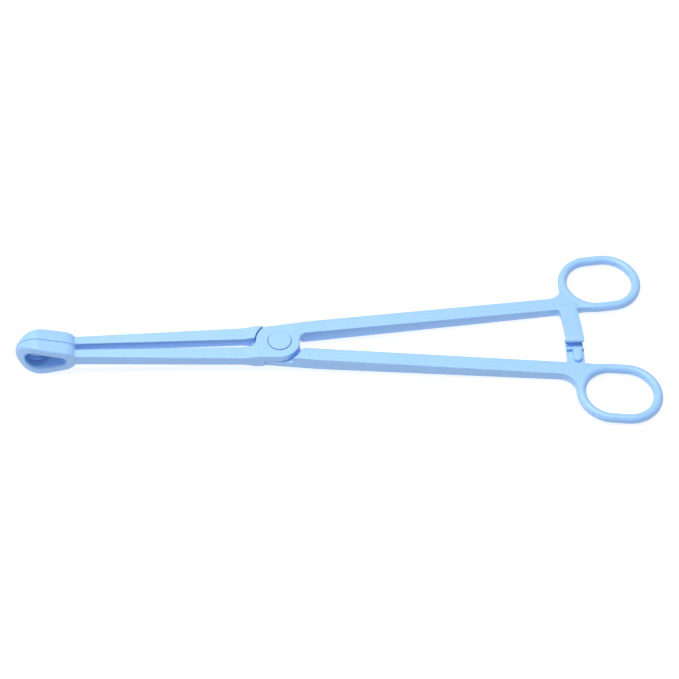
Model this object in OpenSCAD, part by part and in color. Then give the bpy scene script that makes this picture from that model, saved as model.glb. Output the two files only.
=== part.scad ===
// Locking ring-jaw tongs (darkroom print tongs of the ring forceps pattern), moulded in
// light blue plastic. Two long arms cross at a pivot pin. Each arm runs from a jaw loop
// through a slim shank, a half-thickness hub plate and a straight handle to a finger ring,
// and carries one half of a ratchet beside the ring.
//
// Every arm is drawn once, in its own pose: handle on the +Y side, jaw on the -Y side, hub
// plate on the +Z side, with the pivot axis on Z and the parting plane at z = 0. The pawl
// arm is the same arm turned half a turn about X. The finished tongs are lifted so that
// the underside of the hub lies at z = 0. X runs towards the finger rings.

/* [Hub] */
// Radius of the round hub plates
hub_r = 7.7; // [7:0.1:8]
// Half of the hub's full thickness
hub_half_t = 3; // [2.6:0.1:3.4]
// Gap between the two hub plates
plate_gap = 0.2; // [0.1:0.05:0.4]
// Radius of the shoulder that clears the other plate, on the handle side
handle_shoulder_r = 9.4; // [8.6:0.1:9.8]
// Radius of the shoulder that clears the other plate, on the shank side
shank_shoulder_r = 9.3; // [9.2:0.05:9.6]
// Radius of the wider part of the plate, beside the other arm's shank
wide_plate_r = 8.9; // [8:0.1:9]

/* [Pivot pin] */
// Radius of the pin's shank
pin_r = 2.5; // [2:0.1:3]
// Running clearance around the pin in the rack arm
pin_clearance = 0.05; // [0.02:0.01:0.09]
// Radius of the pin's head
pin_head_r = 4.3; // [4:0.1:4.6]
// Height that the head stands above the hub
pin_head_proud = 0.4; // [0.2:0.1:0.8]
// Depth of the head's seat in the rack arm
pin_seat_depth = 1.3; // [1:0.1:1.6]
// Plastic left under the pin in the pawl arm
pin_floor = 0.9; // [0.6:0.1:1.4]

/* [Handles] */
// Distance of a handle's outer edge from the centre line, carried back to the pivot
handle_outer_y = 8.25; // [8.1:0.01:8.5]
// Distance of a handle's inner edge from the centre line, carried back to the pivot
handle_inner_y = 2.58; // [2.3:0.01:3]
// Sideways spread of a handle's outer edge for each millimetre of length
handle_outer_splay = 0.0955; // [0.093:0.0005:0.098]
// Sideways spread of a handle's inner edge for each millimetre of length
handle_splay = 0.0925; // [0.09:0.0005:0.095]
// Half of the handle's thickness beside the finger ring
handle_end_half_t = 2; // [1.7:0.05:2.3]

/* [Shanks] */
// Distance of a shank's outer edge from the centre line, carried back to the pivot
shank_outer_y = 7.84; // [7.6:0.01:8]
// Distance of a shank's inner edge from the centre line, carried back to the pivot
shank_inner_y = 1.85; // [1.6:0.01:2.1]
// Narrowing of the outer edge for each millimetre of length
shank_outer_taper = 0.039; // [0.03:0.001:0.045]
// Narrowing of the inner edge for each millimetre of length
shank_inner_taper = 0.008; // [0:0.001:0.012]
// Half of the shank's thickness next to the hub
shank_hub_half_t = 2.1; // [1.8:0.05:2.4]
// Half of the shank's thickness next to the jaw
shank_jaw_half_t = 2.45; // [2.2:0.05:2.6]

/* [Jaw loops] */
// Distance from the pivot to the centre of the loop's wide front end
jaw_front_x = 90.7; // [90:0.1:92]
// Outer radius of the front end
jaw_front_r = 7.6; // [7.2:0.1:8]
// Distance from the pivot to the centre of the loop's narrow rear end
jaw_rear_x = 80.8; // [80:0.1:82]
// Outer radius of the rear end
jaw_rear_r = 5.2; // [4.8:0.1:5.6]
// Distance from the pivot to the centre of the window's wide front end
window_front_x = 90.1; // [89.6:0.1:90.6]
// Radius of the window's front end
window_front_r = 4.5; // [4:0.1:4.8]
// Distance from the pivot to the centre of the window's narrow rear end
window_rear_x = 81.4; // [81:0.1:82]
// Radius of the window's rear end
window_rear_r = 2.1; // [1.8:0.1:2.4]
// Thickness of one jaw, measured across the tongs
jaw_t = 5.5; // [4.8:0.1:6]
// Radius that rounds the outer face towards the nose
jaw_nose_bend_r = 20; // [19:0.5:22]
// Gap between the closed jaws
jaw_gap = 0.2; // [0.1:0.05:0.4]
// Number of round steps inside the window's nose
step_count = 2; // [1:1:3]
// Depth of one step, measured across the tongs
step_depth = 1.35; // [1:0.05:1.5]
// Width of one step, measured outwards from the window
step_w = 0.45; // [0.3:0.05:0.6]

/* [Finger rings] */
// Distance from the pivot to the centre of a finger ring, along X
ring_x = 125.55; // [124:0.05:127]
// Distance from the centre line to the centre of a finger ring
ring_y = 26.7; // [26.5:0.1:27]
// Radius of the ring's centre line at its round ends
ring_bend_r = 11.58; // [11.3:0.01:11.8]
// Half of the straight stretch between the round ends
ring_half_straight = 2.82; // [2.4:0.02:3.2]
// Angle between the ring's long axis and X
ring_tilt = 6.1; // [5:0.1:7]
// Radius of the ring's round section
ring_tube_r = 1.8; // [1.7:0.05:1.95]
// Radius of the outer corner between handle and ring
root_fillet_r = 6; // [4:0.1:6.4]

/* [Ratchet] */
// Radius of the ratchet bars' inner side, about the pivot
bar_inner_r = 108.5; // [108:0.1:109]
// Radius of the rack bar's outer side, about the pivot
rack_outer_r = 115.5; // [115.2:0.1:115.8]
// Radius of the pawl bar's outer side, about the pivot
pawl_outer_r = 115.3; // [114.8:0.1:115.5]
// How far the rack's nose reaches past the centre line
rack_tip_y = 2.9; // [2.5:0.1:3.2]
// Height of the rack teeth
tooth_h = 0.65; // [0.5:0.05:0.7]
// Distance from one rack tooth to the next
tooth_pitch = 2.5; // [2.3:0.1:2.7]
// How far the pawl bar reaches under the rack, past the centre line
pawl_tip_y = 0.6; // [0:0.1:1]
// Height of the catch lip above the parting plane
lip_z = 0.9; // [0.7:0.05:1]
// Width of the guide rib on the pawl bar
rib_w = 3.7; // [3.4:0.1:4]
// Distance from the centre line to the guide rib's round end
rib_end_y = 11.2; // [10.6:0.1:11.4]

/* [Hidden] */
$fn = 96;

far = 300;
// Length by which a cutting outline runs past what it cuts
margin = 1;
// Depth by which round and straight edges that blend into each other overlap
bite = 0.02;
plastic = [0.62, 0.80, 0.96];
plastic_shade = [0.52, 0.72, 0.92];

// Planes at which one region of a moulding ends and the next begins
jaw_cut_x = -74;
hub_cut_x = 16;
root_cut_x = 103;
ring_cut_x = 116;

// The hub's full thickness reaches this far from the pivot before the arms grow thinner
hub_flat_x = 8;
// Where the arms' straight edges leave the tangents to the round hub
handle_blend_x = 14;
shank_blend_x = -12;
// Where the shank reaches its own thickness
shank_ramp_x = -14;
// Radius of the inner corner between the hub plate and the handle
hub_fillet_r = 3.2;
// Far edge of the wide part of the plate, carried to the pivot, and its slope
plate_top_y = 7.65;
plate_top_slope = 0.1;
// Radius of the inner corner between the wide part of the plate and the shank
plate_fillet_r = 2.5;
// Depth by which that corner's web reaches into the shank
plate_web_lap = 0.5;
// Length by which the shanks and handles run on inside their neighbours' outlines
lap = 6;
// Where a bend radius rounds the jaw's outer face, measured back from the front end's centre
nose_bend_offset = 5.2;
// Part of the jaw's rear that the end of the shank fills
shank_end_offset = 3.2;
// Width of the web's overlap with the round section of the ring
web_lap = 0.35;
// Height between the web's top and the end of its outer corner
web_step = 0.4;
// Length of the web's level top
web_crown = 3;
// Gaps around the pin's head and under it
pin_seat_gap = 0.15;
pin_head_gap = 0.1;

function handle_outer(x) = handle_outer_y + handle_outer_splay * x;
function handle_inner(x) = handle_inner_y + handle_splay * x;
function shank_outer(x) = shank_outer_y + shank_outer_taper * x;
function shank_inner(x) = shank_inner_y + shank_inner_taper * x;

// Point where the tangent from p touches a circle about the origin, a hair inside radius r
function touch(p, r) = let (q = r - bite, a = atan2(p.y, p.x) + acos(q / norm(p))) [q * cos(a), q * sin(a)];

// Keeps the part of its children between x0 and x1
module between_x(x0, x1) {
    intersection() {
        children();
        translate([x0, -far / 2, -far / 2]) cube([x1 - x0, far, far]);
    }
}

// Puts an outline drawn in X and Z on edge, far out to both sides in Y
module upright(length) {
    rotate([90, 0, 0]) linear_extrude(length, center = true) children();
}

// ---------------------------------------------------------------- arm outlines

module shank_plan() {
    corner = [shank_blend_x, -shank_outer(shank_blend_x)];
    polygon([
        [jaw_cut_x - lap, -shank_inner(jaw_cut_x - lap)],
        [jaw_cut_x - lap, -shank_outer(jaw_cut_x - lap)],
        corner,
        touch(corner, hub_r),
        [0, -shank_inner(0)]
    ]);
}

module handle_plan(x_end) {
    corner = [handle_blend_x, handle_outer(handle_blend_x)];
    polygon([
        [0, handle_inner(0)],
        [x_end, handle_inner(x_end)],
        [x_end, handle_outer(x_end)],
        corner,
        touch(corner, hub_r)
    ]);
}

// Small web that rounds the inner corner between the hub plate and the handle
module hub_fillet_plan() {
    edge_y = handle_inner_y - (hub_fillet_r - bite) * sqrt(1 + handle_splay * handle_splay);
    reach = hub_r + hub_fillet_r - bite;
    b = handle_splay * edge_y;
    a = 1 + handle_splay * handle_splay;
    centre_x = (-b + sqrt(b * b - a * (edge_y * edge_y - reach * reach))) / a;
    centre = [centre_x, edge_y + handle_splay * centre_x];
    difference() {
        polygon([[0, 0], centre, [centre.x, handle_inner(centre.x)], [0, handle_inner(0)]]);
        translate(centre) circle(hub_fillet_r);
    }
}

// Wider part of the hub plate beside the other arm's shank, with its inner corner rounded
module wide_plate_plan() {
    edge_y = -shank_inner(0);
    left_x = -wide_plate_r - margin;
    intersection() {
        circle(wide_plate_r);
        polygon([
            [left_x, edge_y],
            [0, edge_y],
            [0, plate_top_y],
            [left_x, plate_top_y + plate_top_slope * left_x]
        ]);
    }
    corner_y = -shank_inner(-wide_plate_r) + plate_fillet_r - bite;
    corner_reach = wide_plate_r + plate_fillet_r - bite;
    corner = [-sqrt(corner_reach * corner_reach - corner_y * corner_y), corner_y];
    difference() {
        polygon([[0, 0], corner, [corner.x, edge_y - plate_web_lap], [0, edge_y - plate_web_lap]]);
        translate(corner) circle(plate_fillet_r);
    }
}

// Side view of an arm: the hub is the thickest place
module arm_side() {
    top = [
        [jaw_cut_x - lap, shank_jaw_half_t],
        [jaw_cut_x, shank_jaw_half_t],
        [shank_ramp_x, shank_hub_half_t],
        [-hub_flat_x, hub_half_t],
        [hub_flat_x, hub_half_t],
        [root_cut_x, handle_end_half_t],
        [ring_cut_x + lap, handle_end_half_t]
    ];
    bottom = [for (i = [len(top) - 1:-1:0]) [top[i].x, -top[i].y]];
    polygon(concat(top, bottom));
}

// Plan of the plate half, which carries the whole round hub
module plate_plan() {
    circle(hub_r);
    shank_plan();
    handle_plan(ring_cut_x);
    hub_fillet_plan();
    wide_plate_plan();
}

// Plan of the other half, which leaves the other arm's plate free to turn
module shoulder_plan() {
    difference() {
        shank_plan();
        circle(shank_shoulder_r);
    }
    difference() {
        handle_plan(ring_cut_x);
        circle(handle_shoulder_r);
    }
}

// Straight stretch of an arm between x0 and x1, as wide as its plan and as thick as its side view
module arm_stretch(x0, x1) {
    between_x(x0, x1) intersection() {
        linear_extrude(3 * hub_half_t, center = true) children();
        upright(far) arm_side();
    }
}

// ---------------------------------------------------------------- regions of one arm

// Outline around a large front circle and a small rear circle, drawn in X and Z
module egg(front_x, front_r, rear_x, rear_r) {
    a = acos((front_r - rear_r) / (front_x - rear_x));
    front_reach = (front_r - bite) * [cos(a), sin(a)];
    rear_reach = (rear_r - bite) * [cos(a), sin(a)];
    translate([-front_x, 0]) circle(front_r);
    translate([-rear_x, 0]) circle(rear_r);
    polygon([
        [-front_x + front_reach.x, front_reach.y],
        [-rear_x + rear_reach.x, rear_reach.y],
        [-rear_x + rear_reach.x, -rear_reach.y],
        [-front_x + front_reach.x, -front_reach.y]
    ]);
}

// Plan of one jaw: flat gripping face, outer face that rounds in towards the nose
module jaw_plan() {
    bend_x = -jaw_front_x + nose_bend_offset;
    nose_x = -jaw_front_x - jaw_front_r - margin;
    rear_x = jaw_cut_x - margin;
    intersection() {
        translate([nose_x, -jaw_t]) square([rear_x - nose_x, jaw_t - jaw_gap / 2]);
        union() {
            translate([bend_x, jaw_nose_bend_r - jaw_t - bite]) circle(jaw_nose_bend_r, $fn = 192);
            translate([bend_x, -jaw_t - margin]) square([rear_x - bend_x, jaw_t + 2 * margin]);
        }
    }
}

// Round steps that widen the window's nose towards the gripping face
module nose_steps() {
    for (i = [1:step_count])
        translate([-window_front_x, -jaw_gap / 2 - (step_count + 1 - i) * step_depth, 0])
            rotate([-90, 0, 0])
                cylinder(h = jaw_t, r = window_front_r + i * step_w);
}

module arm_jaw() {
    difference() {
        union() {
            intersection() {
                upright(4 * jaw_t) egg(jaw_front_x, jaw_front_r, jaw_rear_x, jaw_rear_r);
                translate([0, 0, -far / 2]) linear_extrude(far) jaw_plan();
            }
            arm_stretch(-jaw_rear_x + shank_end_offset, jaw_cut_x) shank_plan();
        }
        upright(4 * jaw_t) egg(window_front_x, window_front_r, window_rear_x, window_rear_r);
        nose_steps();
    }
}

module arm_shank() {
    arm_stretch(jaw_cut_x, -hub_cut_x) shank_plan();
}

module arm_handle() {
    arm_stretch(hub_cut_x, root_cut_x) handle_plan(ring_cut_x);
}

// Half-thickness round plate, with the full thickness of shank and handle beyond the shoulders
module arm_hub() {
    between_x(-hub_cut_x, hub_cut_x) intersection() {
        union() {
            translate([0, 0, plate_gap / 2]) linear_extrude(hub_half_t) plate_plan();
            translate([0, 0, -2 * hub_half_t]) linear_extrude(2 * hub_half_t + plate_gap) shoulder_plan();
        }
        upright(far) arm_side();
    }
}

// Outline of the ring's centre line, grown to either side
module ring_outline(grow) {
    translate([ring_x, ring_y]) rotate(ring_tilt) {
        for (side = [-1, 1])
            translate([side * ring_half_straight, 0]) circle(ring_bend_r + grow);
        square([2 * ring_half_straight, 2 * (ring_bend_r + grow - bite)], center = true);
    }
}

module ring_tube() {
    translate([ring_x, ring_y, 0]) rotate([0, 0, ring_tilt]) {
        for (side = [-1, 1]) {
            translate([side * ring_half_straight, 0, 0])
                rotate([0, 0, -90 * side])
                    rotate_extrude(angle = 180)
                        translate([ring_bend_r, 0]) circle(ring_tube_r, $fn = 48);
            translate([0, side * ring_bend_r, 0])
                rotate([0, 90, 0])
                    cylinder(h = 2 * ring_half_straight, r = ring_tube_r, center = true, $fn = 48);
        }
    }
}

// Flat web that fills the corner between the handle's end and the ring's near end
module root_web_plan() {
    near_x = ring_x - ring_bend_r - ring_half_straight - ring_tube_r + web_lap;
    fillet_x = near_x - root_fillet_r;
    fillet_y = handle_outer(fillet_x) + root_fillet_r - bite;
    web_top_y = fillet_y + web_step;
    difference() {
        polygon([
            [root_cut_x, handle_inner(root_cut_x)],
            [ring_cut_x, handle_inner(ring_cut_x)],
            [ring_cut_x, handle_outer(ring_cut_x)],
            [near_x + web_crown, web_top_y],
            [near_x, web_top_y],
            [near_x, fillet_y],
            [fillet_x, handle_outer(fillet_x)],
            [root_cut_x, handle_outer(root_cut_x)]
        ]);
        ring_outline(-ring_tube_r + web_lap);
        translate([fillet_x, fillet_y]) circle(root_fillet_r);
    }
}

module arm_ring_root() {
    between_x(root_cut_x, ring_cut_x) {
        translate([0, 0, -handle_end_half_t]) linear_extrude(2 * handle_end_half_t) root_web_plan();
        ring_tube();
    }
}

module arm_finger_ring() {
    between_x(ring_cut_x, ring_cut_x + far / 2) ring_tube();
}

// ---------------------------------------------------------------- ratchet

// Flat bar along an arc about the pivot, between two heights
module arc_bar(r0, r1, z0, z1) {
    translate([0, 0, z0]) linear_extrude(z1 - z0)
        difference() {
            circle(r1, $fn = 720);
            circle(r0, $fn = 720);
        }
}

// Side view of a bar, drawn in Y and Z, pushed out along X
module side_of_bar() {
    translate([bar_inner_r - bar_margin, 0, 0])
        rotate([90, 0, 90]) linear_extrude(rack_outer_r - bar_inner_r + 2 * bar_margin) children();
}

// Space beside the handle's inner edge, where a ratchet bar may stand
module inside_of_handle() {
    x0 = bar_inner_r - bar_margin;
    x1 = rack_outer_r + bar_margin;
    translate([0, 0, -far / 2]) linear_extrude(far)
        polygon([
            [x0, -ring_y],
            [x1, -ring_y],
            [x1, handle_inner(x1)],
            [x0, handle_inner(x0)]
        ]);
}

// Distance that the outlines of the ratchet bars run past the bars on either side
bar_margin = 4;
// Distance from a handle's inner edge to the end of a bar's outline, inside the handle
bar_root = 2;
// Height of the rack's underside
rack_z0 = 0.25;
// Underside of the rack's nose, which passes over the catch lip, and the back of that step
nose_z0 = 0.95;
nose_back_y = -1.6;
nose_foot_y = -1.3;
// Sloping front of the nose: end of the top face, and height of its blunt tip
nose_top_y = -1.2;
nose_face_z = 1.35;
rack_teeth = 4;
// First tooth's crest, and the width of a crest
first_crest_y = -0.5;
crest_w = 0.7;
// Length of a tooth's sloping face, and the lean of its locking face
tooth_ramp = 0.9;
tooth_undercut = 0.25;
// Length over which the rack's underside slopes down to the handle's thickness
rack_foot = 4;
// Height left between a bar's foot and the handle's lower face
foot_rise = 0.4;
// Space around the guide rib inside the rack's channel
channel_gap = 0.4;
channel_z = 1.05;
rib_mid_r = 112.65;

// Upper bar: sloping nose, saw teeth below, a channel behind the nose that clears the guide rib
module rack() {
    root_y = handle_inner(rack_outer_r) + bar_root;
    crest_z = rack_z0 - tooth_h;
    foot_z = foot_rise - handle_end_half_t;
    difference() {
        intersection() {
            arc_bar(bar_inner_r, rack_outer_r, -handle_end_half_t, handle_end_half_t);
            side_of_bar() {
                polygon([
                    [-rack_tip_y, nose_z0],
                    [nose_back_y, nose_z0],
                    [nose_foot_y, rack_z0],
                    [root_y - bar_root - rack_foot, rack_z0],
                    [root_y - bar_root, foot_z],
                    [root_y, foot_z],
                    [root_y, handle_end_half_t],
                    [nose_top_y, handle_end_half_t],
                    [-rack_tip_y, nose_face_z]
                ]);
                for (i = [0:rack_teeth - 1])
                    translate([first_crest_y + i * tooth_pitch, crest_z])
                        polygon([
                            [0, 0],
                            [crest_w, 0],
                            [crest_w - tooth_undercut, tooth_h + bite],
                            [-tooth_ramp, tooth_h + bite]
                        ]);
            }
            inside_of_handle();
        }
        intersection() {
            arc_bar(rib_mid_r - rib_w / 2 - channel_gap, rib_mid_r + rib_w / 2 + channel_gap,
                -2 * handle_end_half_t, channel_z);
            translate([bar_inner_r, nose_back_y, -far / 2]) cube(far);
        }
    }
}

// Height of the pawl bar's top between the catch lip and the handle
pawl_z1 = -0.6;
// Height of the pawl bar's tongue, beyond the lip
tongue_z1 = -1.4;
// Sides of the lip's crest, its foot on the tongue, and the lean of its locking face
lip_near_y = -5.9;
lip_far_y = -5.05;
lip_foot_y = -4.8;
lip_undercut = 0.25;

// Lower bar: thin tongue under the rack, catch lip with an undercut face towards the handle
module pawl() {
    root_y = -handle_inner(rack_outer_r) - bar_root;
    intersection() {
        arc_bar(bar_inner_r, pawl_outer_r, -handle_end_half_t, lip_z);
        side_of_bar() polygon([
            [root_y, pawl_z1],
            [root_y, -handle_end_half_t],
            [pawl_tip_y, -handle_end_half_t],
            [pawl_tip_y, tongue_z1],
            [lip_foot_y, tongue_z1],
            [lip_far_y, lip_z],
            [lip_near_y, lip_z],
            [lip_near_y + lip_undercut, pawl_z1]
        ]);
        mirror([0, 1, 0]) inside_of_handle();
    }
}

// Rib on the pawl bar, from the catch lip to a round end near the handle
module rib() {
    end_r = rib_w / 2;
    end_y = -rib_end_y + end_r;
    end_x = sqrt(rib_mid_r * rib_mid_r - end_y * end_y);
    translate([end_x, end_y, pawl_z1]) cylinder(h = lip_z - pawl_z1, r = end_r, $fn = 48);
    intersection() {
        arc_bar(rib_mid_r - end_r, rib_mid_r + end_r, pawl_z1, lip_z);
        translate([bar_inner_r, end_y, -far / 2]) cube([rack_outer_r - bar_inner_r, lip_near_y - end_y, far]);
    }
}

// ---------------------------------------------------------------- placing

// Lifts the tongs so that the hub's underside lies at z = 0
module lifted() {
    translate([0, 0, hub_half_t]) children();
}

// Turns an arm over to make the pawl arm
module turned_over() {
    rotate([180, 0, 0]) children();
}

module rack_arm_jaw() {
    color(plastic) lifted() arm_jaw();
}

module rack_arm_shank() {
    color(plastic) lifted() arm_shank();
}

module rack_arm_hub() {
    seat_z = hub_half_t - pin_seat_depth;
    color(plastic) lifted() difference() {
        arm_hub();
        translate([0, 0, -margin]) cylinder(h = hub_half_t + 2 * margin, r = pin_r + pin_clearance);
        translate([0, 0, seat_z]) cylinder(h = pin_seat_depth + margin, r = pin_head_r + pin_seat_gap);
    }
}

module rack_arm_handle() {
    color(plastic) lifted() arm_handle();
}

module rack_arm_ring_root() {
    color(plastic) lifted() arm_ring_root();
}

module rack_arm_finger_ring() {
    color(plastic) lifted() arm_finger_ring();
}

module rack_bar() {
    color(plastic_shade) lifted() rack();
}

module pawl_arm_jaw() {
    color(plastic) lifted() turned_over() arm_jaw();
}

module pawl_arm_shank() {
    color(plastic) lifted() turned_over() arm_shank();
}

module pawl_arm_hub() {
    color(plastic) lifted() difference() {
        turned_over() arm_hub();
        translate([0, 0, pin_floor - hub_half_t]) cylinder(h = hub_half_t, r = pin_r);
    }
}

module pawl_arm_handle() {
    color(plastic) lifted() turned_over() arm_handle();
}

module pawl_arm_ring_root() {
    color(plastic) lifted() turned_over() arm_ring_root();
}

module pawl_arm_finger_ring() {
    color(plastic) lifted() turned_over() arm_finger_ring();
}

module pawl_bar() {
    color(plastic_shade) lifted() pawl();
}

module guide_rib() {
    color(plastic) lifted() rib();
}

// Pin with a flat round head, whose rim is rounded
module pivot_pin() {
    head_top = hub_half_t + pin_head_proud;
    head_bottom = hub_half_t - pin_seat_depth + pin_head_gap;
    rim_r = 0.3;
    color(plastic_shade) lifted() rotate_extrude()
        union() {
            translate([0, pin_floor - hub_half_t]) square([pin_r, head_bottom - pin_floor + hub_half_t]);
            translate([0, head_bottom]) square([pin_head_r - rim_r, head_top - head_bottom]);
            translate([0, head_bottom]) square([pin_head_r, head_top - rim_r - head_bottom]);
            translate([pin_head_r - rim_r, head_top - rim_r]) circle(rim_r, $fn = 32);
        }
}

rack_arm_jaw();
rack_arm_shank();
rack_arm_hub();
rack_arm_handle();
rack_arm_ring_root();
rack_arm_finger_ring();
rack_bar();
pawl_arm_jaw();
pawl_arm_shank();
pawl_arm_hub();
pawl_arm_handle();
pawl_arm_ring_root();
pawl_arm_finger_ring();
pawl_bar();
guide_rib();
pivot_pin();
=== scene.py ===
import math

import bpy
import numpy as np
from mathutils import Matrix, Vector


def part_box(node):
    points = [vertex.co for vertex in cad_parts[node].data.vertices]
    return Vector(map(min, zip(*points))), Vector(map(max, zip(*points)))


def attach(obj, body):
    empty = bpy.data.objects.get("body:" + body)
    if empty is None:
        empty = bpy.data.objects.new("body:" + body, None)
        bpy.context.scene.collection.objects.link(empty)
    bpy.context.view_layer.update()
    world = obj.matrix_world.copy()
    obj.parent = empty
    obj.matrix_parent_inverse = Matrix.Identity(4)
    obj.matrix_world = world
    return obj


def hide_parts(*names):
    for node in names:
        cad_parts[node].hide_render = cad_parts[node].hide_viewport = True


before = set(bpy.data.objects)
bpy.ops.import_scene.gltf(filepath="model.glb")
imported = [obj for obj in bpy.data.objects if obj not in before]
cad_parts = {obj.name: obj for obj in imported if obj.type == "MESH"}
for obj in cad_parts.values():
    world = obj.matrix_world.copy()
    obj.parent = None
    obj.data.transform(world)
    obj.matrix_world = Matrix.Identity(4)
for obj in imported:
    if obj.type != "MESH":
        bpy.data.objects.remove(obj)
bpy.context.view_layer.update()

# Looks of the locking ring-jaw tongs. Each arm is one seamless moulding: its shape is a signed
# distance in millimetres, which is meshed on a grid that follows the arm. The two arms are drawn
# in the same pose, handle on +Y, jaw on -Y, hub plate on +Z, parting plane at z = 0; the pawl arm
# is then turned half a turn about X.

MM = 0.001

# ------------------------------------------------------------------ sizes, in millimetres

hub_low, hub_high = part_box("rack_arm_hub")
pin_low, pin_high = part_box("pivot_pin")
HUB_HALF_T = (hub_high.z - hub_low.z) / 2 / MM
MID_Z = hub_high.z - HUB_HALF_T * MM
HUB_R = 7.7
PLATE_GAP = 0.2
HANDLE_SHOULDER_R = 9.4
SHANK_SHOULDER_R = 9.3
HUB_FLAT_X = 8.0
HUB_FILLET_R = 3.2
PLATE_R = 8.9
PLATE_TOP_Y = 7.65
PLATE_TOP_SLOPE = 0.1
PLATE_FILLET_R = 2.5
PLATE_LIMIT_R = HANDLE_SHOULDER_R + HUB_FILLET_R
FILLET_LAP = 0.5

PIN_R = 2.5
PIN_CLEARANCE = 0.05
PIN_HEAD_R = (pin_high.x - pin_low.x) / 2 / MM
PIN_SEAT_DEPTH = 1.3
PIN_SEAT_GAP = 0.15
PIN_FLOOR = 0.9
PIN_TIP_BEVEL = 0.2
PIN_HEAD_BEVEL = 0.1
PIN_HEAD_LIFT = 0.1
PIN_RIM_R = 0.35
PIN_RIM_STEPS = 8
PIN_TOP_BORDER = 1.2

HANDLE_OUTER_Y = 8.25
HANDLE_OUTER_SPLAY = 0.0955
HANDLE_INNER_Y = 2.58
HANDLE_SPLAY = 0.0925
HANDLE_BLEND_X = 14.0
HANDLE_END_X = 122.0
HANDLE_THIN_X = 103.0
RING_MEET_X = 113.0
HANDLE_END_HALF_T = 2.0
HANDLE_TAIL_HALF_T = 1.26

SHANK_OUTER_Y = 7.84
SHANK_INNER_Y = 1.85
SHANK_OUTER_TAPER = 0.039
SHANK_INNER_TAPER = 0.008
SHANK_BLEND_X = -12.0
SHANK_RAMP_X = -14.0
SHANK_END_X = -77.6
SHANK_HUB_HALF_T = 2.1
SHANK_JAW_HALF_T = 2.45

JAW_FRONT_X = -90.7
JAW_FRONT_R = 7.6
JAW_REAR_X = -80.8
JAW_REAR_R = 5.2
WINDOW_FRONT_X = -90.1
WINDOW_FRONT_R = 4.5
WINDOW_REAR_X = -81.4
WINDOW_REAR_R = 2.1
JAW_T = 5.5
JAW_BEND_X = -85.5
JAW_BEND_R = 20.0
JAW_GAP = 0.2
STEP_COUNT = 2
STEP_DEPTH = 1.35
STEP_W = 0.45
JAW_LAP = 8.0

RING_X = 125.55
RING_Y = 26.7
RING_BEND_R = 11.58
RING_HALF_STRAIGHT = 2.82
RING_TILT = math.radians(6.1)
RING_TUBE_R = 1.8
WEB_LAP = 0.35
WEB_END_X = 116.0
WEB_CROWN = 3.0
WEB_STEP = 0.4
WEB_DEPTH = 1.0
ROOT_FILLET_R = 6.0

BAR_INNER_R = 108.5
BAR_OUTER_R = 115.5
BAR_MID_R = (BAR_INNER_R + BAR_OUTER_R) / 2
BAR_W = BAR_OUTER_R - BAR_INNER_R
BAR_LAP = 2.0
RACK_TIP_Y = -2.9
NOSE_TOP_Y = -1.2
NOSE_FACE_Z = 1.35
NOSE_Z0 = 0.95
NOSE_BACK_Y = -1.6
RACK_FOOT_Y = -1.3
NOSE_EDGE_R = 0.35
NOSE_TIP_R = 0.9
RACK_Z0 = 0.25
RACK_TEETH = 4
RACK_FIRST_TOOTH_Y = -0.5
TOOTH_H = 0.65
TOOTH_RAMP = 0.9
TOOTH_PITCH = 2.5
TOOTH_LAP = 0.1
CREST_W = 0.7
UNDERCUT = 0.25
RACK_ROOT_SLOPE = 0.5
RACK_ROOT_RUN = 4.0
RACK_FLOOR_Z = -1.7
PAWL_TIP_Y = 0.6
PAWL_Z1 = -0.6
PAWL_VALLEY_Z = -1.4
PAWL_OUTER_R = 115.3
LIP_NEAR_Y = -5.9
LIP_FAR_Y = -5.05
LIP_FOOT_Y = -4.8
LIP_Z = 0.9
LIP_UNDERCUT = 0.4
LIP_LAP = 0.1
RIB_MID_R = 112.65
RIB_W = 3.7
RIB_END_Y = -11.2
RIB_EDGE_R = 1.0
RIB_LAP = 0.5
CHANNEL_W = RIB_W + 0.8
CHANNEL_Z = 1.05

# Radii of the moulded edges
EDGE_R = 0.5
RING_BLEND = 0.9
WEB_EDGE_R = 1.4
JAW_EDGE_R = 1.0
WINDOW_EDGE_R = 0.7
CRISP_R = 0.15
STEP_EDGE_R = 0.1
SEAT_EDGE_R = 0.12
BORE_EDGE_R = 0.05
PAWL_UNDER_R = 0.4
JOIN_BLEND = 0.5
RIB_BLEND = 0.3


# ------------------------------------------------------------------ distance tools

def round_and(a, b, r):
    """Overlap of two shapes, with the edge between them rounded to radius r."""
    corner = np.hypot(np.maximum(a + r, 0), np.maximum(b + r, 0))
    return np.minimum(np.maximum(a, b), -r) + corner


def round_cut(a, b, r):
    """Shape a with shape b taken away, and the new edge rounded to radius r."""
    return round_and(a, -b, r)


def soft_or(a, b, k):
    """Union of two shapes, with a fillet about as wide as k."""
    h = np.maximum(k - np.abs(a - b), 0) / k
    return np.minimum(a, b) - h * h * k / 4


def left_of(x, y, p, q):
    """Distance from the line p-q, negative on the left of somebody walking from p to q."""
    dx, dy = q[0] - p[0], q[1] - p[1]
    return ((x - p[0]) * dy - (y - p[1]) * dx) / math.hypot(dx, dy)


def convex(x, y, points):
    """Distance from a convex outline whose points run anticlockwise."""
    sides = [left_of(x, y, p, q) for p, q in zip(points, points[1:] + points[:1])]
    return np.maximum.reduce(sides)


def touch(p, r):
    """Point where the tangent from p touches the circle of radius r about the origin."""
    a = math.atan2(p[1], p[0]) + math.acos(r / math.hypot(*p))
    return r * math.cos(a), r * math.sin(a)


# ------------------------------------------------------------------ one arm

def handle_outer(x):
    return HANDLE_OUTER_Y + HANDLE_OUTER_SPLAY * x


def handle_inner(x):
    return HANDLE_INNER_Y + HANDLE_SPLAY * x


def shank_outer(x):
    return -(SHANK_OUTER_Y + SHANK_OUTER_TAPER * x)


def shank_inner(x):
    return -(SHANK_INNER_Y + SHANK_INNER_TAPER * x)


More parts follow.
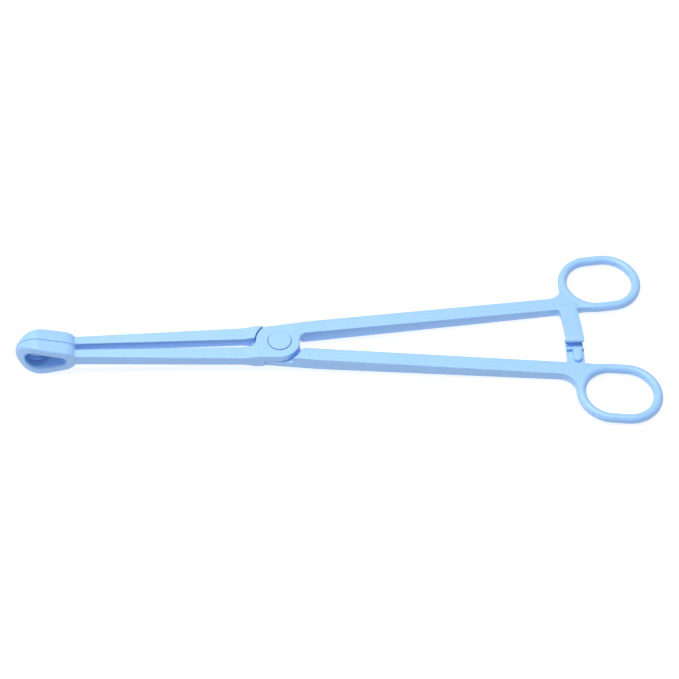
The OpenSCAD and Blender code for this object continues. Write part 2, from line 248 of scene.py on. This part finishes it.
def half_thickness(x):
    """Half of the arm's thickness: thickest at the hub, eased into the shank."""
    handle = np.interp(
        x,
        [HUB_FLAT_X, HANDLE_THIN_X, RING_MEET_X, HANDLE_END_X],
        [HUB_HALF_T, HANDLE_END_HALF_T, HANDLE_END_HALF_T, HANDLE_TAIL_HALF_T],
    )
    shank = np.interp(x, [SHANK_END_X, SHANK_RAMP_X], [SHANK_JAW_HALF_T, SHANK_HUB_HALF_T])
    ease = np.clip((x - SHANK_RAMP_X) / (-HUB_FLAT_X - SHANK_RAMP_X), 0, 1)
    ease = ease * ease * (3 - 2 * ease)
    return np.where(x > -HUB_FLAT_X, handle, shank + (HUB_HALF_T - shank) * ease)


def ring_reach(x, y):
    """Distance from the straight middle line of the finger ring's long outline."""
    c, s = math.cos(RING_TILT), math.sin(RING_TILT)
    along = (x - RING_X) * c + (y - RING_Y) * s
    across = (y - RING_Y) * c - (x - RING_X) * s
    return np.hypot(np.maximum(np.abs(along) - RING_HALF_STRAIGHT, 0), across)


def handle_plan(x, y):
    corner = (HANDLE_BLEND_X, handle_outer(HANDLE_BLEND_X))
    start = touch(corner, HUB_R)
    strip = np.maximum.reduce([
        left_of(x, y, (0, handle_inner(0)), (1, handle_inner(1))),
        left_of(x, y, (1, handle_outer(1)), (0, handle_outer(0))),
        left_of(x, y, corner, start),
        start[0] - x,
        x - HANDLE_END_X,
    ])
    near_x = RING_X - RING_BEND_R - RING_HALF_STRAIGHT - RING_TUBE_R + WEB_LAP
    fillet_x = near_x - ROOT_FILLET_R
    fillet_y = handle_outer(fillet_x) + ROOT_FILLET_R * math.hypot(1, HANDLE_OUTER_SPLAY)
    top_y = fillet_y + WEB_STEP
    web = convex(x, y, [
        (fillet_x, handle_outer(fillet_x) - WEB_DEPTH),
        (WEB_END_X, handle_outer(WEB_END_X) - WEB_DEPTH),
        (near_x + WEB_CROWN, top_y),
        (near_x, top_y),
    ])
    web = np.maximum(web, ROOT_FILLET_R - np.hypot(x - fillet_x, y - fillet_y))
    return np.minimum(strip, web)


def shank_plan(x, y):
    corner = (SHANK_BLEND_X, shank_outer(SHANK_BLEND_X))
    end = touch(corner, HUB_R)
    return np.maximum.reduce([
        left_of(x, y, (0, shank_inner(0)), (-1, shank_inner(-1))),
        left_of(x, y, (-1, shank_outer(-1)), (0, shank_outer(0))),
        left_of(x, y, corner, end),
        x - end[0],
        SHANK_END_X - x,
    ])


def hub_fillet_plan(x, y):
    """Web that rounds the inner corner between the hub plate and the handle."""
    lean = math.hypot(1, HANDLE_SPLAY)
    edge_y = HANDLE_INNER_Y - HUB_FILLET_R * lean
    reach = HUB_R + HUB_FILLET_R
    b = HANDLE_SPLAY * edge_y
    root = math.sqrt(b * b - lean * lean * (edge_y * edge_y - reach * reach))
    cx = (root - b) / (lean * lean)
    cy = edge_y + HANDLE_SPLAY * cx
    block = convex(x, y, [
        (0, 0),
        (cx, cy),
        (cx, handle_inner(cx) + FILLET_LAP),
        (0, HANDLE_INNER_Y + FILLET_LAP),
    ])
    return np.maximum(block, HUB_FILLET_R - np.hypot(x - cx, y - cy))


def wide_plate_plan(x, y):
    """Wider part of the hub plate beside the other arm's shank, with its inner corner rounded."""
    rho = np.hypot(x, y)
    top = y - PLATE_TOP_Y - PLATE_TOP_SLOPE * x
    wide = np.maximum.reduce([rho - PLATE_R, top, x, shank_inner(0) - y])
    cy = shank_inner(-PLATE_R) + PLATE_FILLET_R
    cx = -math.sqrt((PLATE_R + PLATE_FILLET_R) ** 2 - cy * cy)
    base_y = shank_inner(0) - FILLET_LAP
    block = convex(x, y, [(cx, base_y), (0, base_y), (0, 0), (cx, cy)])
    web = np.maximum(block, PLATE_FILLET_R - np.hypot(x - cx, y - cy))
    return np.minimum(wide, web)


def arm_bar(x, y, z):
    """Shank, hub plate and handle."""
    rho = np.hypot(x, y)
    flat = np.abs(z) - half_thickness(x)
    bars = np.minimum(handle_plan(x, y), shank_plan(x, y))
    shoulder = np.where(x > 0, HANDLE_SHOULDER_R, SHANK_SHOULDER_R)
    full = round_and(bars, flat, EDGE_R)
    full = round_cut(full, np.maximum(rho - shoulder, z - PLATE_GAP / 2), 2 * CRISP_R)
    hole = ring_reach(x, y) - (RING_BEND_R - RING_TUBE_R + WEB_LAP)
    full = round_cut(full, hole, WEB_EDGE_R)
    plate = np.minimum.reduce([bars, rho - HUB_R, hub_fillet_plan(x, y), wide_plate_plan(x, y)])
    plate = round_and(plate, flat, EDGE_R)
    plate = round_and(plate, PLATE_GAP / 2 - z, CRISP_R)
    plate = np.maximum(plate, rho - PLATE_LIMIT_R)
    return np.minimum(full, plate)


def finger_ring(x, y, z):
    return np.hypot(ring_reach(x, y) - RING_BEND_R, z) - RING_TUBE_R


def egg(x, z, front_x, front_r, rear_x, rear_r):
    """Distance from the outline around a large front circle and a small rear circle."""
    length = rear_x - front_x
    lean = (front_r - rear_r) / length
    run = math.sqrt(1 - lean * lean)
    px, pz = np.abs(z), x - front_x
    k = pz * run - px * lean
    front = np.hypot(px, pz) - front_r
    rear = np.hypot(px, pz - length) - rear_r
    side = px * run + pz * lean - front_r
    return np.where(k < 0, front, np.where(k > length * run, rear, side))


def jaw(x, y, z):
    """Jaw loop without its window: egg outline, outer face rounded in towards the nose."""
    bend_y = JAW_BEND_R - JAW_T
    curved = np.hypot(np.minimum(x - JAW_BEND_X, 0), y - bend_y) - JAW_BEND_R
    outer = np.where(x < JAW_BEND_X, curved, -(y + JAW_T))
    loop = egg(x, z, JAW_FRONT_X, JAW_FRONT_R, JAW_REAR_X, JAW_REAR_R)
    return round_and(loop, outer, JAW_EDGE_R)


def cut_gripping_face(d, x, y, z):
    """Opens the jaw's window, makes its flat gripping face and the round steps at the nose."""
    window = egg(x, z, WINDOW_FRONT_X, WINDOW_FRONT_R, WINDOW_REAR_X, WINDOW_REAR_R)
    d = round_cut(d, window, WINDOW_EDGE_R)
    d = round_and(d, y + JAW_GAP / 2, CRISP_R)
    nose = np.hypot(x - WINDOW_FRONT_X, z) - WINDOW_FRONT_R
    for i in range(STEP_COUNT):
        floor_y = -JAW_GAP / 2 - (STEP_COUNT - i) * STEP_DEPTH
        d = round_cut(d, np.maximum(nose - (i + 1) * STEP_W, floor_y - y), STEP_EDGE_R)
    return d


def rack_bar(x, y, z):
    """Upper ratchet bar: rounded nose, saw teeth below, channel that clears the guide rib."""
    rho = np.hypot(x, y)
    root_y = handle_inner(x) + BAR_LAP
    ramp_y = handle_inner(BAR_OUTER_R) - RACK_ROOT_RUN
    under = np.interp(y, [NOSE_BACK_Y, RACK_FOOT_Y], [NOSE_Z0, RACK_Z0])
    under = under - RACK_ROOT_SLOPE * np.maximum(y - ramp_y, 0)
    d = left_of(y, z, (NOSE_TOP_Y, HANDLE_END_HALF_T), (RACK_TIP_Y, NOSE_FACE_Z))
    d = round_and(d, z - half_thickness(x), NOSE_EDGE_R)
    d = round_and(d, RACK_TIP_Y - y, NOSE_TIP_R)
    d = round_and(d, np.maximum(under, RACK_FLOOR_Z) - z, CRISP_R)
    crest_z = RACK_Z0 - TOOTH_H
    for i in range(RACK_TEETH):
        crest_y = RACK_FIRST_TOOTH_Y + i * TOOTH_PITCH
        tooth = convex(y, z, [
            (crest_y, crest_z),
            (crest_y + CREST_W, crest_z),
            (crest_y + CREST_W - 2 * UNDERCUT, crest_z + 2 * TOOTH_H),
            (crest_y - 2 * TOOTH_RAMP, crest_z + 2 * TOOTH_H),
        ])
        d = np.minimum(d, np.maximum(tooth, z - RACK_Z0 - TOOTH_LAP))
    d = round_and(d, np.abs(rho - BAR_MID_R) - BAR_W / 2, 2 * CRISP_R)
    channel = np.maximum.reduce([
        np.abs(rho - RIB_MID_R) - CHANNEL_W / 2,
        z - CHANNEL_Z,
        NOSE_BACK_Y - y,
    ])
    d = round_cut(d, channel, CRISP_R)
    return np.maximum(d, y - root_y)


def pawl_bar(x, y, z):
    """Lower ratchet bar with its catch lip and rib, y and z as they are on the finished tongs."""
    rho = np.hypot(x, y)
    root_y = -handle_inner(x) - BAR_LAP
    top_z = np.where(y < LIP_FAR_Y, PAWL_Z1, PAWL_VALLEY_Z)
    d = round_and(z - top_z, y - PAWL_TIP_Y, 2 * CRISP_R)
    lip = convex(y, z, [
        (LIP_NEAR_Y + LIP_UNDERCUT, PAWL_VALLEY_Z - LIP_LAP),
        (LIP_FOOT_Y, PAWL_VALLEY_Z - LIP_LAP),
        (LIP_FAR_Y, LIP_Z + LIP_LAP),
        (LIP_NEAR_Y, LIP_Z + LIP_LAP),
    ])
    d = np.minimum(d, round_and(lip, z - LIP_Z, CRISP_R))
    d = round_and(d, -HANDLE_END_HALF_T - z, PAWL_UNDER_R)
    d = round_and(d, np.maximum(BAR_INNER_R - rho, rho - PAWL_OUTER_R), 2 * CRISP_R)
    end_y = RIB_END_Y + RIB_W / 2
    rib = np.hypot(rho - RIB_MID_R, np.maximum(end_y - y, 0)) - RIB_W / 2
    rib = np.maximum(rib, y - LIP_FAR_Y + CRISP_R)
    rib = round_and(rib, z - LIP_Z, RIB_EDGE_R)
    rib = np.maximum(rib, PAWL_Z1 - RIB_LAP - z)
    return np.maximum(soft_or(d, rib, RIB_BLEND), root_y - y)


def common_arm(x, y, z):
    """What the two arms share: bar, finger ring and jaw."""
    d = soft_or(arm_bar(x, y, z), finger_ring(x, y, z), RING_BLEND)
    near_jaw = x < SHANK_END_X + JAW_LAP
    grown = soft_or(d, jaw(x, y, z), JOIN_BLEND)
    return np.where(near_jaw, cut_gripping_face(grown, x, y, z), d)


def rack_arm(x, y, z):
    d = soft_or(common_arm(x, y, z), rack_bar(x, y, z), JOIN_BLEND)
    rho = np.hypot(x, y)
    seat_z = HUB_HALF_T - PIN_SEAT_DEPTH
    seat = np.maximum(rho - PIN_HEAD_R - PIN_SEAT_GAP, seat_z - z)
    bore = rho - PIN_R - PIN_CLEARANCE
    return round_cut(d, np.minimum(seat, bore), SEAT_EDGE_R)


def pawl_arm(x, y, z):
    d = soft_or(common_arm(x, y, z), pawl_bar(x, -y, -z), JOIN_BLEND)
    bore = np.maximum(np.hypot(x, y) - PIN_R, z - HUB_HALF_T + PIN_FLOOR)
    return round_cut(d, bore, BORE_EDGE_R)


# ------------------------------------------------------------------ meshing

def graded(*stretches):
    """Grid planes from (start, end, step) stretches that follow each other."""
    planes = []
    for start, end, step in stretches:
        cells = max(1, round((end - start) / step))
        planes.append(np.linspace(start, end, cells, endpoint=False))
    last_end = stretches[-1][1]
    return np.concatenate(planes + [[last_end]])


# Grid planes: fine at the jaw, the hub and the ratchet, coarse along the plain bars. V is the
# distance from the arm's middle line.
COARSE = 1.2
GRID_X = graded(
    (-99.6, -72, 0.22),
    (-72, -18, COARSE),
    (-18, 18, 0.25),
    (18, 100, COARSE),
    (100, 107, 0.35),
    (107, 118, 0.2),
    (118, 142.6, 0.28),
)
GRID_V = graded((-20.6, 9.6, 0.22), (9.6, 26.6, 0.28))
GRID_Z = graded((-8.4, -3.6, 0.24), (-3.6, 3.6, 0.2), (3.6, 8.4, 0.24))
OUTSIDE = 9.0
CROSSING_X = 16.0
THIN_Z = 3.7
JAW_Z = 8.5


def centre_line(x):
    """Middle of the arm's width, which the grid follows."""
    mids = [
        (shank_outer(SHANK_END_X) + shank_inner(SHANK_END_X)) / 2,
        (shank_outer(-CROSSING_X) + shank_inner(-CROSSING_X)) / 2,
        (handle_outer(CROSSING_X) + handle_inner(CROSSING_X)) / 2,
        (handle_outer(HANDLE_END_X) + handle_inner(HANDLE_END_X)) / 2,
    ]
    return np.interp(x, [SHANK_END_X, -CROSSING_X, CROSSING_X, HANDLE_END_X], mids)


def sample(shape):
    """Distances on the whole grid, worked out only where the arm can be."""
    values = np.full((len(GRID_X), len(GRID_V), len(GRID_Z)), OUTSIDE, np.float32)
    reaches = [
        (-100, -70, -8, 6, JAW_Z),
        (-70, 20, -12, 12, THIN_Z),
        (20, 99, -5, 5, THIN_Z),
        (99, 143, -21, 27, THIN_Z),
    ]
    for x0, x1, v0, v1, z1 in reaches:
        i = np.flatnonzero((GRID_X >= x0) & (GRID_X < x1))
        j = np.flatnonzero((GRID_V >= v0) & (GRID_V < v1))
        k = np.flatnonzero(np.abs(GRID_Z) < z1)
        x = GRID_X[i][:, None, None]
        y = GRID_V[j][None, :, None] + centre_line(x)
        z = GRID_Z[k][None, None, :]
        x, y, z = np.broadcast_arrays(x, y, z)
        values[np.ix_(i, j, k)] = shape(x, y, z)
    return values


def surface_net(values):
    """Vertices and quads of the zero surface: one vertex in each cell that it crosses."""
    inside = values < 0
    shape = tuple(n - 1 for n in values.shape)
    corners = [(a, b, c) for a in (0, 1) for b in (0, 1) for c in (0, 1)]
    count = np.zeros(shape, np.int8)
    for a, b, c in corners:
        count += inside[a:a + shape[0], b:b + shape[1], c:c + shape[2]]
    cells = np.argwhere((count > 0) & (count < len(corners)))
    index = np.full(shape, -1, np.int32)
    index[tuple(cells.T)] = np.arange(len(cells))
    total = np.zeros((len(cells), 3))
    hits = np.zeros(len(cells))
    axes = (GRID_X, GRID_V, GRID_Z)
    for start in corners:
        for axis in range(3):
            if start[axis]:
                continue
            p = cells + np.array(start)
            q = p.copy()
            q[:, axis] += 1
            a, b = values[tuple(p.T)], values[tuple(q.T)]
            hit = (a < 0) != (b < 0)
            t = np.where(hit, a / np.where(hit, a - b, 1), 0)
            for k in range(3):
                low, high = axes[k][p[:, k]], axes[k][q[:, k]]
                total[:, k] += hit * (low + t * (high - low))
            hits += hit
    points = total / hits[:, None]
    points[:, 1] += centre_line(points[:, 0])
    quads = []
    for axis in range(3):
        u, v = [k for k in range(3) if k != axis]
        ahead = np.take(inside, range(1, inside.shape[axis]), axis)
        behind = np.take(inside, range(inside.shape[axis] - 1), axis)
        for enters in (True, False):
            edges = np.argwhere((behind != ahead) & (ahead == enters))
            edges = edges[(edges[:, u] > 0) & (edges[:, v] > 0)]
            ring = []
            for du, dv in ((-1, -1), (0, -1), (0, 0), (-1, 0)):
                cell = edges.copy()
                cell[:, u] += du
                cell[:, v] += dv
                ring.append(index[tuple(cell.T)])
            flip = enters == (axis != 1)
            quads.append(np.stack(ring[::-1] if flip else ring, 1))
    return points, np.concatenate(quads)


def slope(shape, p, step=0.02):
    """Direction in which the distance grows fastest, at each point."""
    tiny = 1e-9
    rises = []
    for k in range(3):
        side = np.zeros(3)
        side[k] = step
        rises.append(shape(*(p + side).T) - shape(*(p - side).T))
    g = np.stack(rises, 1)
    return g / np.maximum(np.linalg.norm(g, axis=1, keepdims=True), tiny)


def settle(shape, p, rounds=2, most=0.12):
    """Moves the vertices onto the surface itself."""
    for _ in range(rounds):
        gap = np.clip(shape(*p.T), -most, most)
        p = p - slope(shape, p) * gap[:, None]
    return p


def mesh_object(name, points, faces, normals=None):
    """Smooth-shaded object from points in metres."""
    mesh = bpy.data.meshes.new(name)
    mesh.from_pydata(points.tolist(), [], faces)
    mesh.validate()
    mesh.shade_smooth()
    if normals is not None:
        mesh.normals_split_custom_set_from_vertices(normals.tolist())
    piece = bpy.data.objects.new(name, mesh)
    bpy.context.scene.collection.objects.link(piece)
    return piece


def make_arm(name, shape, turned):
    """Seamless moulding from its distance function; the pawl arm is turned half a turn about X."""
    points, quads = surface_net(sample(shape))
    points = settle(shape, points)
    normals = slope(shape, points)
    if turned:
        half_turn = np.array([1, -1, -1])
        points, normals = points * half_turn, normals * half_turn
    points = points * MM + np.array([0, 0, MID_Z])
    return mesh_object(name, points, quads.tolist(), normals)


def lathe(name, outline, steps=96):
    """Closed solid of revolution about Z; the outline runs from axis to axis, low end first."""
    rows = []
    for r, z in outline[1:-1]:
        angles = np.arange(steps) * 2 * math.pi / steps
        rows.append(np.stack([r * np.cos(angles), r * np.sin(angles), np.full(steps, z)], 1))
    points = np.concatenate([[[0, 0, outline[0][1]]], *rows, [[0, 0, outline[-1][1]]]])
    faces = []
    last = len(points) - 1
    for i in range(steps):
        j = (i + 1) % steps
        faces.append([0, 1 + j, 1 + i])
        for row in range(len(rows) - 1):
            a, b = 1 + row * steps, 1 + (row + 1) * steps
            faces.append([a + i, a + j, b + j, b + i])
        top = 1 + (len(rows) - 1) * steps
        faces.append([last, top + i, top + j])
    return mesh_object(name, points * MM, faces)


def make_pin():
    """Pivot pin: plain shank, flat head with a rounded rim."""
    top = pin_high.z / MM
    bottom = pin_low.z / MM
    head_bottom = MID_Z / MM + HUB_HALF_T - PIN_SEAT_DEPTH + PIN_HEAD_LIFT
    outline = [
        (0, bottom),
        (PIN_R - PIN_TIP_BEVEL, bottom),
        (PIN_R, bottom + PIN_TIP_BEVEL),
        (PIN_R, head_bottom),
        (PIN_HEAD_R - PIN_HEAD_BEVEL, head_bottom),
        (PIN_HEAD_R, head_bottom + PIN_HEAD_BEVEL),
    ]
    rim_x = PIN_HEAD_R - PIN_RIM_R
    rim_z = top - PIN_RIM_R
    for i in range(PIN_RIM_STEPS + 1):
        a = math.radians(i * 90 / PIN_RIM_STEPS)
        outline.append((rim_x + PIN_RIM_R * math.cos(a), rim_z + PIN_RIM_R * math.sin(a)))
    outline += [(PIN_HEAD_R - PIN_TOP_BORDER, top), (0, top)]
    return lathe("pivot_pin_head", outline)


# ------------------------------------------------------------------ materials

LIGHT_BLUE = (0.335, 0.585, 0.98)
CLOUD_SHADE = 0.965
GLOSSIEST = 0.36
DULLEST = 0.46
GRAIN_HEIGHT = 0.00002
SINK_HEIGHT = 0.00015
PLASTIC_IOR = 1.49


def add_node(tree, kind, **inputs):
    """Node of a material; keyword inputs are set on the sockets of the same name."""
    node = tree.nodes.new(kind)
    for key, value in inputs.items():
        node.inputs[key.replace("_", " ")].default_value = value
    return node


def moulded_plastic(name, colour):
    """Satin polypropylene: faint flow clouds in the colour, fine moulding grain, soft gloss."""
    material = bpy.data.materials.new(name)
    material.use_nodes = True
    tree = material.node_tree
    tree.nodes.clear()
    link = tree.links.new
    place = tree.nodes.new("ShaderNodeTexCoord").outputs["Object"]

    clouds = add_node(tree, "ShaderNodeTexNoise", Scale=45.0, Detail=3.0, Roughness=0.5)
    link(place, clouds.inputs["Vector"])
    tint = tree.nodes.new("ShaderNodeValToRGB")
    tint.color_ramp.elements[0].position = 0.3
    tint.color_ramp.elements[0].color = (*[c * CLOUD_SHADE for c in colour], 1)
    tint.color_ramp.elements[1].position = 0.7
    tint.color_ramp.elements[1].color = (*colour, 1)
    link(clouds.outputs["Fac"], tint.inputs["Fac"])

    smudges = add_node(tree, "ShaderNodeTexNoise", Scale=160.0, Detail=4.0, Roughness=0.6)
    link(place, smudges.inputs["Vector"])
    gloss = add_node(tree, "ShaderNodeMapRange", From_Min=0.3, From_Max=0.7)
    gloss.inputs["To Min"].default_value = GLOSSIEST
    gloss.inputs["To Max"].default_value = DULLEST
    link(smudges.outputs["Fac"], gloss.inputs["Value"])

    grain = add_node(tree, "ShaderNodeTexNoise", Scale=2600.0, Detail=2.0, Roughness=0.5)
    link(place, grain.inputs["Vector"])
    sink = add_node(tree, "ShaderNodeTexNoise", Scale=120.0, Detail=1.0, Roughness=0.4)
    link(place, sink.inputs["Vector"])
    fine = add_node(tree, "ShaderNodeBump", Strength=0.25, Distance=GRAIN_HEIGHT)
    link(grain.outputs["Fac"], fine.inputs["Height"])
    broad = add_node(tree, "ShaderNodeBump", Strength=0.2, Distance=SINK_HEIGHT)
    link(sink.outputs["Fac"], broad.inputs["Height"])
    link(fine.outputs["Normal"], broad.inputs["Normal"])

    shader = add_node(tree, "ShaderNodeBsdfPrincipled", IOR=PLASTIC_IOR)
    shader.inputs["Specular IOR Level"].default_value = 0.45
    link(tint.outputs["Color"], shader.inputs["Base Color"])
    link(gloss.outputs["Result"], shader.inputs["Roughness"])
    link(broad.outputs["Normal"], shader.inputs["Normal"])
    output = tree.nodes.new("ShaderNodeOutputMaterial")
    link(shader.outputs["BSDF"], output.inputs["Surface"])
    return material


def plain_surface(name, colour, roughness, glow):
    """One even colour that also glows white."""
    material = bpy.data.materials.new(name)
    material.use_nodes = True
    shader = material.node_tree.nodes["Principled BSDF"]
    shader.inputs["Base Color"].default_value = (*colour, 1)
    shader.inputs["Roughness"].default_value = roughness
    shader.inputs["Emission Color"].default_value = (1, 1, 1, 1)
    shader.inputs["Emission Strength"].default_value = glow
    return material


# ------------------------------------------------------------------ stage

FLOOR_SIZE = 6.0
FLOOR_GAP = 0.0002
FLOOR_WHITE = (0.3, 0.3, 0.3)
FLOOR_ROUGHNESS = 0.8
FLOOR_GLOW = 0.8
ROOM_LIGHT = 0.16
KEY_PLACE = (-0.2, 0.15, 1.4)
KEY_SIZE = 1.0
KEY_POWER = 24.0
SIDE_PLACE = (-1.2, -0.2, 0.4)
SIDE_SIZE = 0.5
SIDE_POWER = 2.5
CAMERA_AZIMUTH = math.radians(-7.69)
CAMERA_ELEVATION = math.radians(51.38)
CAMERA_ROLL = math.radians(-4.62)
CAMERA_DISTANCE = 0.8078
CAMERA_AIM = Vector((0.02281, 0.00218, MID_Z))
CAMERA_LENS = 113.7


def make_floor():
    """White floor that the jaws and the finger rings rest on."""
    ring_end_x = RING_X + RING_BEND_R + RING_HALF_STRAIGHT
    rise = math.asin((JAW_FRONT_R - RING_TUBE_R) / (ring_end_x - JAW_FRONT_X))
    under_ring = MID_Z - RING_TUBE_R * MM / math.cos(rise)
    height = under_ring - ring_end_x * MM * math.tan(rise) - FLOOR_GAP
    bpy.ops.mesh.primitive_plane_add(size=FLOOR_SIZE, location=(0, 0, height), rotation=(0, -rise, 0))
    floor = bpy.context.object
    floor.name = "floor"
    floor.data.materials.append(plain_surface("floor_white", FLOOR_WHITE, FLOOR_ROUGHNESS, FLOOR_GLOW))


def make_light(name, place, size, power):
    """Round soft light that faces the tongs."""
    lamp = bpy.data.lights.new(name, "AREA")
    lamp.shape = "DISK"
    lamp.size = size
    lamp.energy = power
    light = bpy.data.objects.new(name, lamp)
    light.location = place
    light.rotation_euler = (-Vector(place)).to_track_quat("-Z", "Y").to_euler()
    bpy.context.scene.collection.objects.link(light)


def make_world(strength):
    """Even white light from all round."""
    world = bpy.data.worlds.new("studio")
    world.use_nodes = True
    background = world.node_tree.nodes["Background"]
    background.inputs["Color"].default_value = (1, 1, 1, 1)
    background.inputs["Strength"].default_value = strength
    bpy.context.scene.world = world


def make_camera():
    """Camera in front of the tongs, above them, turned a little about its own view line."""
    flat = math.cos(CAMERA_ELEVATION)
    back = Vector((
        math.sin(CAMERA_AZIMUTH) * flat,
        -math.cos(CAMERA_AZIMUTH) * flat,
        math.sin(CAMERA_ELEVATION),
    ))
    right = Vector((math.cos(CAMERA_AZIMUTH), math.sin(CAMERA_AZIMUTH), 0))
    up = back.cross(right)
    turned_right = right * math.cos(CAMERA_ROLL) - up * math.sin(CAMERA_ROLL)
    turned_up = right * math.sin(CAMERA_ROLL) + up * math.cos(CAMERA_ROLL)
    turn = Matrix((turned_right, turned_up, back)).transposed()
    camera = bpy.data.objects.new("camera", bpy.data.cameras.new("camera"))
    camera.data.lens = CAMERA_LENS
    camera.matrix_world = Matrix.Translation(CAMERA_AIM + back * CAMERA_DISTANCE) @ turn.to_4x4()
    bpy.context.scene.collection.objects.link(camera)
    bpy.context.scene.camera = camera


make_camera()
make_floor()
make_world(ROOM_LIGHT)
make_light("key", KEY_PLACE, KEY_SIZE, KEY_POWER)
make_light("side", SIDE_PLACE, SIDE_SIZE, SIDE_POWER)
bpy.context.scene.view_settings.view_transform = "Standard"

# ------------------------------------------------------------------ the three pieces

arm_plastic = moulded_plastic("arm_plastic", LIGHT_BLUE)
pin_plastic = moulded_plastic("pin_plastic", LIGHT_BLUE)

ARM_REGIONS = ("jaw", "shank", "hub", "handle", "ring_root", "finger_ring")

rack_moulding = make_arm("rack_arm_moulding", rack_arm, turned=False)
rack_moulding.data.materials.append(arm_plastic)
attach(rack_moulding, "rack_arm")
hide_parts(*["rack_arm_" + part for part in ARM_REGIONS], "rack_bar")

pawl_moulding = make_arm("pawl_arm_moulding", pawl_arm, turned=True)
pawl_moulding.data.materials.append(arm_plastic)
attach(pawl_moulding, "pawl_arm")
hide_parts(*["pawl_arm_" + part for part in ARM_REGIONS], "pawl_bar", "guide_rib")

pin = make_pin()
pin.data.materials.append(pin_plastic)
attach(pin, "pawl_arm")
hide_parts("pivot_pin")
